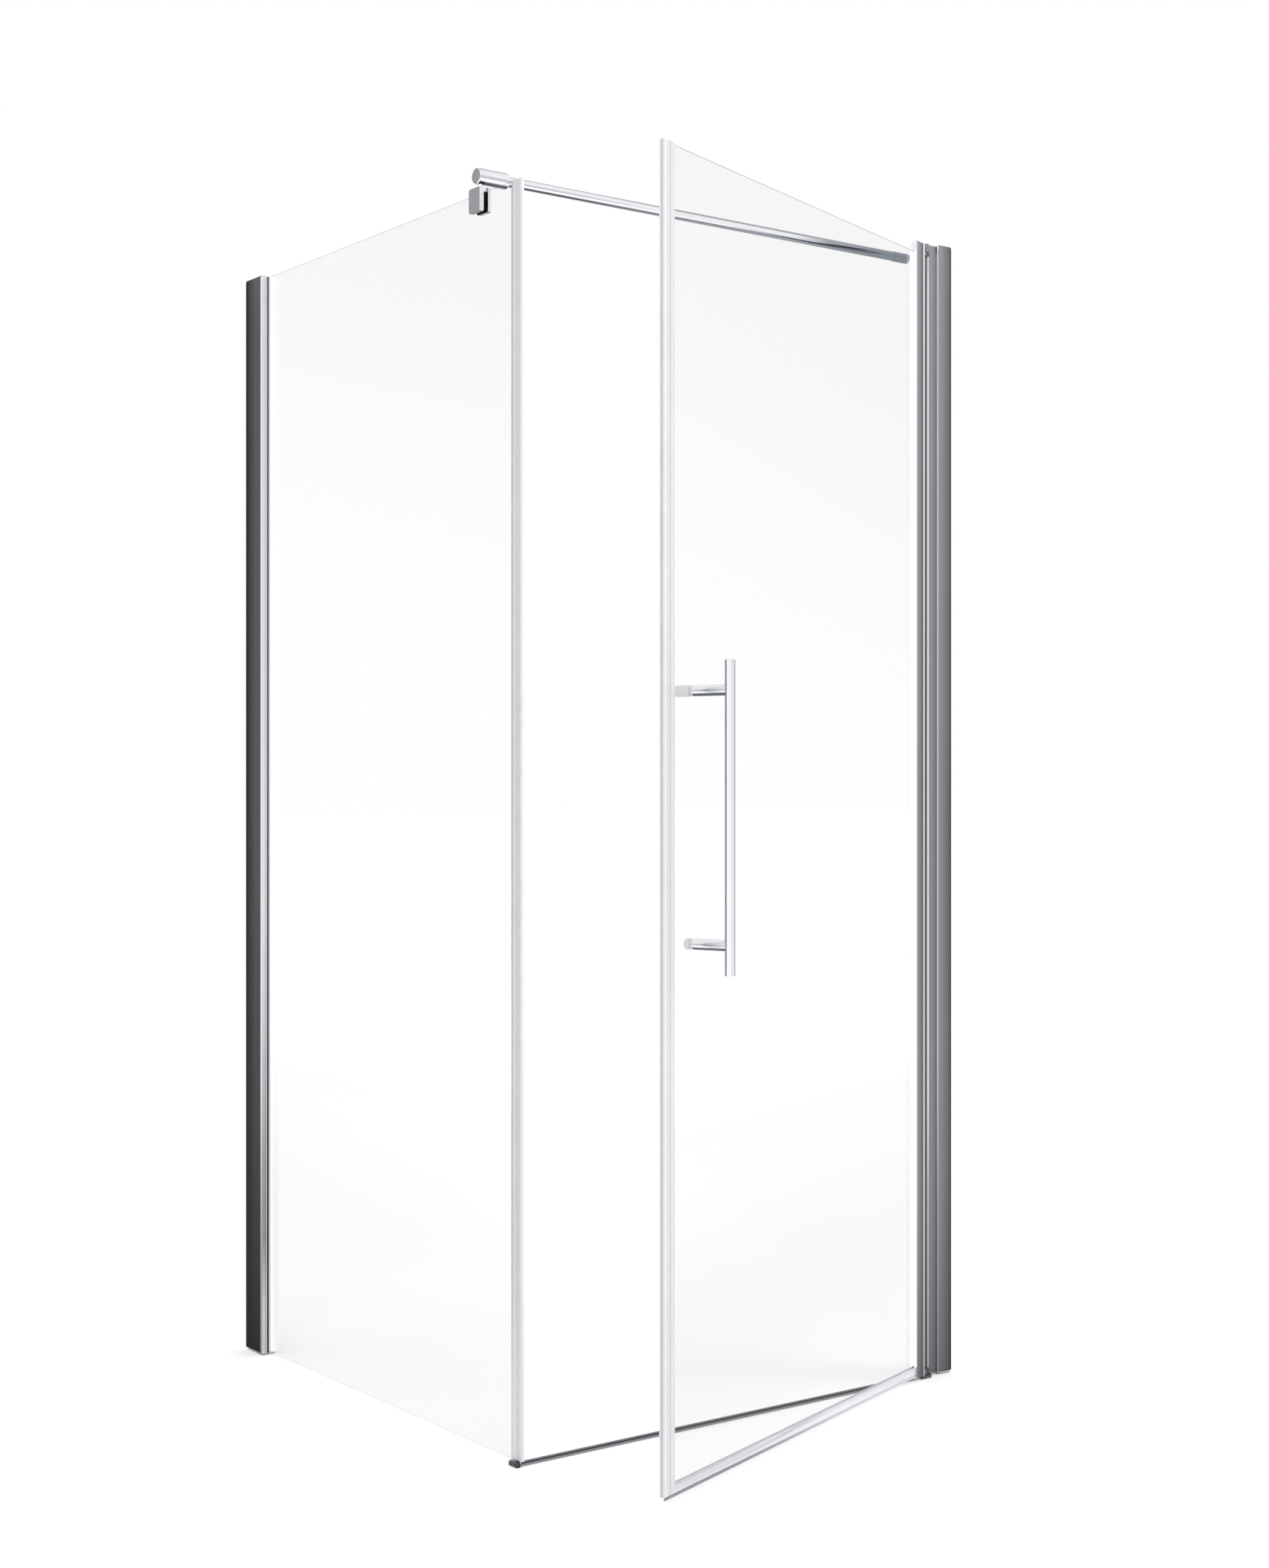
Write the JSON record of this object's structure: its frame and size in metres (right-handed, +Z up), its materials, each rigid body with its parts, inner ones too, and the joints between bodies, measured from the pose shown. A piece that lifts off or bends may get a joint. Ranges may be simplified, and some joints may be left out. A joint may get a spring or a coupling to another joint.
{
  "type": "corner shower enclosure with pivot door",
  "caption": "Corner shower enclosure: clear glass pivot door standing ajar, fixed glass side panel, threshold rail and wall-to-glass support bar.",
  "frame": {"origin": "underside of the corner foot at the tray corner, where the outer face of the side glass meets the middle plane of the closed door", "axes": "+X along the front to the right wall, +Y along the side panel to the rear wall, +Z up"},
  "size_m": [0.901, 1.1821, 1.939],
  "materials": {
    "bright_profile": "bright anodised, polished",
    "dark_chrome": "polished, dark",
    "chrome": "polished",
    "steel": "brushed",
    "glass": "clear, toughened",
    "clear_seal": "clear, slightly milky",
    "soft_lip": "soft, smoky",
    "black_gasket": "matt",
    "black_plastic": "matt",
    "grey_plastic": "satin",
    "magnet": "satin"
  },
  "bodies": {
    "enclosure": {"side_wall_profile": "bright_profile", "side_glass_profile": "bright_profile", "door_wall_profile": "bright_profile", "post_profile": "bright_profile", "threshold_rail": "bright_profile", "top_pivot_block": "bright_profile", "bottom_pivot_block": "bright_profile", "corner_foot": "dark_chrome", "support_bar": "chrome", "bar_holder": "chrome", "bar_wall_socket": "chrome", "clamp_outer_jaw": "chrome", "clamp_inner_jaw": "chrome", "clamp_stud": "chrome", "side_fixing_screws": "steel", "door_fixing_screws": "steel", "pivot_block_screw": "steel", "bottom_pivot_pin": "steel", "top_pivot_pin": "steel", "top_block_screw": "steel", "clamp_screws": "steel", "holder_grub_screw": "steel", "socket_grub_screw": "steel", "side_glass": "glass", "side_edge_seal": "clear_seal", "side_bottom_strip": "clear_seal", "side_gasket_inner": "clear_seal", "side_gasket_outer": "black_gasket", "clamp_gasket": "black_gasket", "pivot_washer": "black_plastic", "side_profile_foot": "grey_plastic", "side_profile_cap": "grey_plastic", "door_profile_foot": "grey_plastic", "door_profile_cap": "grey_plastic", "post_foot": "grey_plastic", "side_fixing_caps": "grey_plastic", "door_fixing_caps": "grey_plastic", "side_edge_magnet": "magnet"},
    "door": {"door_hinge_profile": "bright_profile", "hinge_bead": "black_gasket", "door_top_cap": "grey_plastic", "door_bottom_cap": "grey_plastic", "cap_screws": "steel", "bottom_bush": "black_plastic", "top_bush": "black_plastic", "hinge_cover_strip": "clear_seal", "door_glazing_gasket": "clear_seal", "door_glass": "glass", "door_edge_seal": "clear_seal", "door_edge_magnet": "magnet", "door_bottom_seal": "clear_seal", "door_seal_lip": "soft_lip", "door_seal_clip": "clear_seal", "handle_bar": "chrome", "handle_inner_cap": "grey_plastic", "handle_inner_knob": "grey_plastic", "handle_posts": "chrome", "handle_washers": "clear_seal", "handle_screws": "steel"}
  },
  "joints": [
    {"name": "door_swing", "type": "hinge", "parent": "enclosure", "child": "door", "pos_m": [0.825, 0, 0], "axis": [0, 0, 1], "range_deg": [-19.7, 68.3]}
  ]
}
